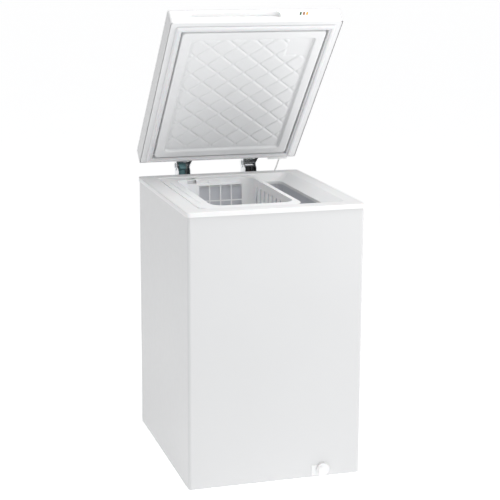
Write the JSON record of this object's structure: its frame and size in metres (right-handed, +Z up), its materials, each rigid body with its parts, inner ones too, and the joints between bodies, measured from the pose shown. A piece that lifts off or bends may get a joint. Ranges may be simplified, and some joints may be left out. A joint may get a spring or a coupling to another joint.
{
  "type": "chest freezer",
  "caption": "Compact upright-proportioned chest freezer: insulated white cabinet with a hinged quilted lid held part open, hanging basket, front drain and rear machine room.",
  "frame": {"origin": "bottom centre of the whole object's bounding box, on the floor, with the lid part open as stored", "axes": "+Z up, +Y towards the hinges and the back, -Y towards the user, +X to the user's right"},
  "size_m": [0.535, 0.6952, 1.3696],
  "materials": {
    "white_steel": "semi-gloss powder coat",
    "zinc_steel": "bright zinc plate",
    "spring_steel": "oiled spring wire",
    "black_enamel": "satin black enamel",
    "teal_plastic": "moulded acetal",
    "black_plastic": "fine moulded texture",
    "rubber": "matt",
    "foam": null,
    "liner_aluminium": "lacquered sheet",
    "tube_aluminium": "drawn tube",
    "tube_steel": "coated steel tube",
    "copper": "drawn copper",
    "white_plastic": "fine satin moulding",
    "basket_plastic": "satin moulding",
    "gloss_white": "gloss moulding",
    "liner_plastic": "vacuum formed sheet",
    "gasket_white": "soft white extrusion",
    "cable_white": "soft white jacket",
    "lens_green": "tinted lens",
    "lens_amber": "tinted lens",
    "lens_orange": "tinted lens",
    "circuit_board": "solder-masked board"
  },
  "bodies": {
    "cabinet": {"outer_shell": "white_steel", "back_panel": "white_steel", "bottom_plate": "zinc_steel", "feet": "black_plastic", "compressor_tray": "zinc_steel", "machine_room_panel": "zinc_steel", "insulation_foam": "foam", "inner_liner": "liner_aluminium", "tank_base": "liner_aluminium", "top_rim": "white_plastic", "evaporator_coil": "tube_aluminium", "condenser_coil": "tube_steel", "compressor": "black_enamel", "compressor_grommets": "rubber", "compressor_bolts": "zinc_steel", "start_relay": "black_plastic", "filter_drier": "copper", "refrigerant_pipes": "copper", "rear_grille": "black_plastic", "grille_screws": "zinc_steel", "thermostat": "black_plastic", "mains_gland": "black_plastic", "tank_drain": "white_plastic", "drain_hose": "rubber", "drain_bezel": "white_plastic", "cable_gland": "white_plastic", "lid_cable": "cable_white", "hinge_channel_screws": "zinc_steel", "hinge_channel_left": "zinc_steel", "hinge_channel_right": "zinc_steel", "hinge_spring_left": "spring_steel", "hinge_spring_right": "spring_steel"},
    "lid": {"lid_outer_shell": "white_steel", "lid_front_strip": "white_plastic", "control_panel": "gloss_white", "lamp_green": "lens_green", "lamp_amber": "lens_amber", "lamp_orange": "lens_orange", "indicator_board": "circuit_board", "lid_inner_frame": "liner_plastic", "lid_gasket": "gasket_white", "lid_liner": "liner_plastic", "lid_foam": "foam", "hinge_pins": "zinc_steel", "hinge_clips": "zinc_steel", "hinge_arm_screws": "zinc_steel", "cable_cover": "white_plastic", "hinge_arm_left": "zinc_steel", "hinge_arm_right": "zinc_steel", "hinge_lining_left": "black_plastic", "hinge_lining_right": "black_plastic", "hinge_cam_left": "teal_plastic", "hinge_cam_right": "zinc_steel"},
    "plunger_left": {"hinge_plunger_left": "teal_plastic"},
    "plunger_right": {"hinge_plunger_right": "black_plastic"},
    "basket": {"basket": "basket_plastic"},
    "drain_plug": {"drain_plug": "white_plastic"},
    "drain_spout": {"drain_spout": "white_plastic"},
    "drain_dial": {"drain_dial": "white_plastic"},
    "thermostat_dial": {"thermostat_dial": "white_plastic"}
  },
  "joints": [
    {"name": "lid_hinge", "type": "hinge", "parent": "cabinet", "child": "lid", "pos_m": [0, 0.33163, 0.847], "axis": [-1, 0, 0], "range_deg": [-47, 38]},
    {"name": "plunger_left_slide", "type": "slide", "parent": "cabinet", "child": "plunger_left", "axis": [0, 0, 1], "range_m": [-0.00325, 0.00264], "deforming": ["hinge_spring_left"]},
    {"name": "plunger_right_slide", "type": "slide", "parent": "cabinet", "child": "plunger_right", "axis": [0, 0, 1], "range_m": [-0.00325, 0.00264], "deforming": ["hinge_spring_right"]},
    {"name": "basket_lift", "type": "slide", "parent": "cabinet", "child": "basket", "axis": [0, 0, 1], "range_m": [0, 0.09]},
    {"name": "drain_plug_lift", "type": "slide", "parent": "cabinet", "child": "drain_plug", "axis": [0, 0, 1], "range_m": [0, 0.04]},
    {"name": "drain_spout_pull", "type": "slide", "parent": "cabinet", "child": "drain_spout", "axis": [0, -1, 0], "range_m": [0, 0.024]},
    {"name": "drain_dial_turn", "type": "hinge", "parent": "drain_spout", "child": "drain_dial", "pos_m": [0.146, -0.34063, 0.027], "axis": [0, -1, 0], "range_deg": [0, 180]},
    {"name": "thermostat_dial_turn", "type": "hinge", "parent": "cabinet", "child": "thermostat_dial", "pos_m": [-0.15, 0.28363, 0.15], "axis": [0, 1, 0], "range_deg": [-135, 135]}
  ],
  "couplings": [
    {"joint": "plunger_left_slide", "follows": "lid_hinge", "m_per_rad": 0.0039},
    {"joint": "plunger_right_slide", "follows": "lid_hinge", "m_per_rad": 0.0039}
  ]
}
